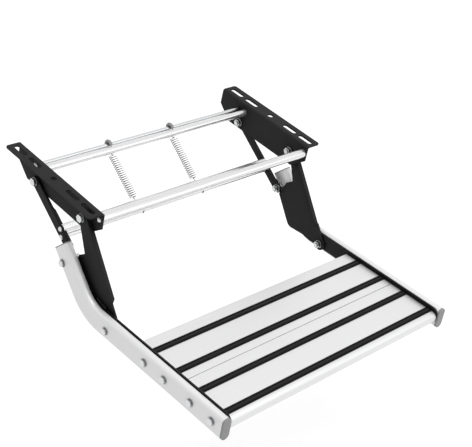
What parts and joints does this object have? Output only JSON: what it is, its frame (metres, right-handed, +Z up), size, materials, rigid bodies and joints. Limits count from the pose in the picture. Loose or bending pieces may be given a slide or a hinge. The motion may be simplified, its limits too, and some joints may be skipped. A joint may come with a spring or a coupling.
{
  "type": "folding caravan entry step",
  "caption": "Folding entry step with an aluminium tread, bent side rails and black steel links, hung from slotted floor brackets.",
  "frame": {"origin": "Midway between the centre holes of the two brackets, on the plane of the flange tops.", "axes": "+Z up, +Y to the vehicle and to the rear of the step, -Y to the front edge of the tread, +X across the step to the right as seen from the front."},
  "size_m": [0.5588, 0.6183, 0.1987],
  "materials": {
    "black_steel": "satin black powder coat",
    "aluminium": "silver anodised",
    "zinc": "bright zinc plate",
    "spring_steel": "zinc-plated spring wire",
    "cap_plastic": "grey moulded plastic",
    "grip_rubber": "black grip insert"
  },
  "bodies": {
    "mounting_frame": {"left_bracket": "black_steel", "right_bracket": "black_steel", "front_cross_tube": "aluminium", "rear_cross_tube": "aluminium", "spring_bar": "aluminium", "cross_tube_inserts": "zinc", "cross_tube_screws": "zinc", "upper_pivot_bolts": "zinc", "upper_pivot_washers": "zinc", "upper_pivot_nuts": "zinc", "upper_pivot_spacers": "zinc"},
    "front_links": {"left_front_link": "black_steel", "right_front_link": "black_steel"},
    "rear_links": {"left_rear_link": "black_steel", "right_rear_link": "black_steel", "link_tube": "aluminium", "link_rod": "aluminium", "link_tube_inserts": "zinc", "link_tube_screws": "zinc", "rear_lower_nuts": "zinc", "rear_lower_washers": "zinc"},
    "tread_frame": {"left_rail": "aluminium", "right_rail": "aluminium", "rail_front_caps": "cap_plastic", "rail_top_caps": "cap_plastic", "left_side_plate": "black_steel", "right_side_plate": "black_steel", "rear_tread_plank": "aluminium", "front_tread_plank": "aluminium", "grip_strip_1": "grip_rubber", "grip_strip_2": "grip_rubber", "grip_strip_3": "grip_rubber", "grip_strip_4": "grip_rubber", "tread_bolts": "zinc", "tread_washers": "zinc", "front_lower_bolts": "zinc", "front_lower_washers": "zinc", "front_lower_nuts": "zinc", "rear_lower_bolts": "zinc", "rear_lower_spacers": "zinc"},
    "springs": {"left_spring": "spring_steel", "right_spring": "spring_steel"}
  },
  "joints": [
    {"name": "fold", "type": "hinge", "parent": "mounting_frame", "child": "front_links", "pos_m": [0, -0.0803, -0.0311], "axis": [1, 0, 0], "range_deg": [0, 86]},
    {"name": "tread_hinge", "type": "hinge", "parent": "front_links", "child": "tread_frame", "pos_m": [0, -0.20172, -0.17944], "axis": [1, 0, 0], "range_deg": [-92, 0]},
    {"name": "rear_fold", "type": "hinge", "parent": "mounting_frame", "child": "rear_links", "pos_m": [0, 0.0613, -0.0448], "axis": [1, 0, 0], "range_deg": [0, 119]},
    {"name": "spring_swing", "type": "hinge", "parent": "mounting_frame", "child": "springs", "pos_m": [0, 0.071, -0.0188], "axis": [1, 0, 0], "range_deg": [0, 98.5], "deforming": ["left_spring", "right_spring"]}
  ],
  "couplings": [
    {"joint": "tread_hinge", "follows": "fold", "ratio": -1.0624},
    {"joint": "rear_fold", "follows": "fold", "ratio": 1.3764},
    {"joint": "spring_swing", "follows": "fold", "ratio": 1.1368}
  ]
}
